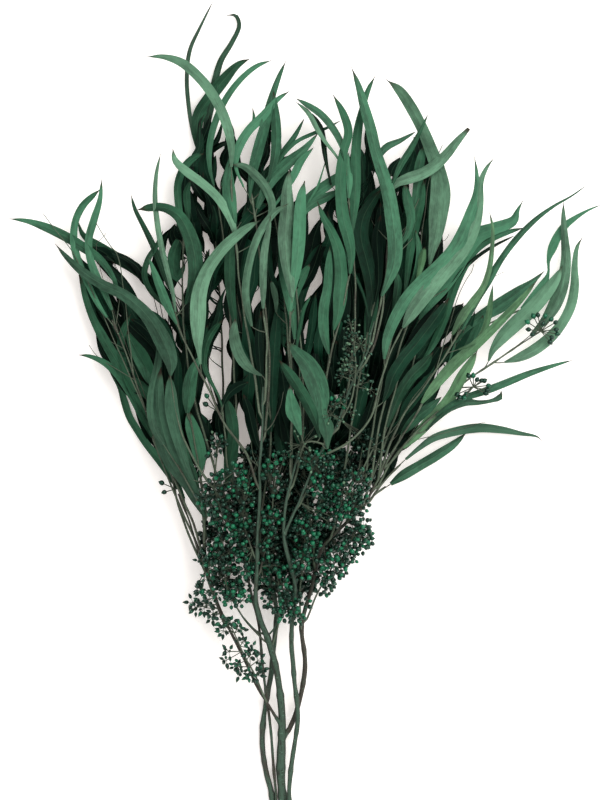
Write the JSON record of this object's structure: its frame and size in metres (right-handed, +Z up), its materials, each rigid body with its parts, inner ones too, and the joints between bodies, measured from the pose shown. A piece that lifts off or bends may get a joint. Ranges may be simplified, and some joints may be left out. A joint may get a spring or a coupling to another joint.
{
  "type": "bunch of dried eucalyptus",
  "caption": "Loose fan-shaped bunch of dried eucalyptus lying flat: bare woody stems, long sickle-shaped leaves and clusters of round seed capsules.",
  "frame": {"origin": "on the surface that the bunch lies on, under the middle of its bounding box", "axes": "+Z up from the surface, +Y from the cut stem ends towards the leaf tips, +X to the right when seen from above"},
  "size_m": [0.4803, 0.6783, 0.0818],
  "materials": {
    "leaf_pale": "dried leaf, satin, pale grey-green",
    "leaf_fresh": "dried leaf, satin, bright green",
    "leaf_mid": "dried leaf, satin, mid green",
    "leaf_olive": "dried leaf, satin, olive green",
    "leaf_deep": "dried leaf, satin, deep green",
    "leaf_dark": "dried leaf, satin, nearly black green",
    "stem_green": "smooth grey-green bark",
    "stem_bark": "brownish bark",
    "seed": "glossy deep green seed capsules"
  },
  "bodies": {
    "root": {"stem_centre": "stem_green", "stem_left": "stem_green", "stem_slender": "stem_bark", "stem_right": "stem_green", "branch_right": "stem_bark", "branch_low_left": "stem_bark", "branch_upper_right": "stem_green", "leaves_left_mint": "leaf_pale", "leaves_left_olive": "leaf_olive", "leaves_left_broad": "leaf_olive", "leaves_left_fresh": "leaf_fresh", "leaves_left_arching": "leaf_mid", "leaves_far_left_upper": "leaf_mid", "leaves_far_left_lower": "leaf_mid", "leaves_far_left_teal": "leaf_fresh", "leaves_left_shadow": "leaf_dark", "leaves_left_low": "leaf_deep", "leaves_left_inner": "leaf_mid", "leaves_top_left_dark": "leaf_deep", "leaves_top_left_grey": "leaf_mid", "leaves_top_pale": "leaf_pale", "leaves_centre_bright": "leaf_fresh", "leaves_top_centre": "leaf_mid", "leaves_centre_broad": "leaf_fresh", "leaves_centre_deep": "leaf_deep", "leaves_centre_shadow": "leaf_dark", "leaves_centre_arc": "leaf_deep", "leaves_front_centre": "leaf_mid", "leaves_long_centre": "leaf_mid", "leaves_mid_upright": "leaf_mid", "leaves_mid_back": "leaf_mid", "leaves_mid_shade": "leaf_deep", "leaves_mid_shadow": "leaf_dark", "leaves_cross_left": "leaf_fresh", "leaves_cross_shadow": "leaf_dark", "leaves_right_front": "leaf_fresh", "leaves_right_rim": "leaf_fresh", "leaves_right_long": "leaf_pale", "leaves_right_dark": "leaf_deep", "leaves_right_broken": "leaf_deep", "leaves_right_narrow": "leaf_pale", "leaves_right_light": "leaf_pale", "leaves_right_mid": "leaf_mid", "leaves_right_low": "leaf_fresh", "leaves_right_drooping": "leaf_mid", "leaves_upper_right_pale": "leaf_pale", "leaves_upper_right_cross": "leaf_fresh", "leaves_upper_right_deep": "leaf_deep", "seeds_low_left": "seed", "seeds_left_tail": "seed", "seeds_left_lower": "seed", "seeds_left_upper": "seed", "seeds_centre_left": "seed", "seeds_centre": "seed", "seeds_centre_low": "seed", "seeds_centre_right": "seed", "seeds_right_lower": "seed", "seeds_right_upper": "seed", "seeds_centre_upper": "seed", "seeds_right_inner": "seed"}
  },
  "joints": []
}
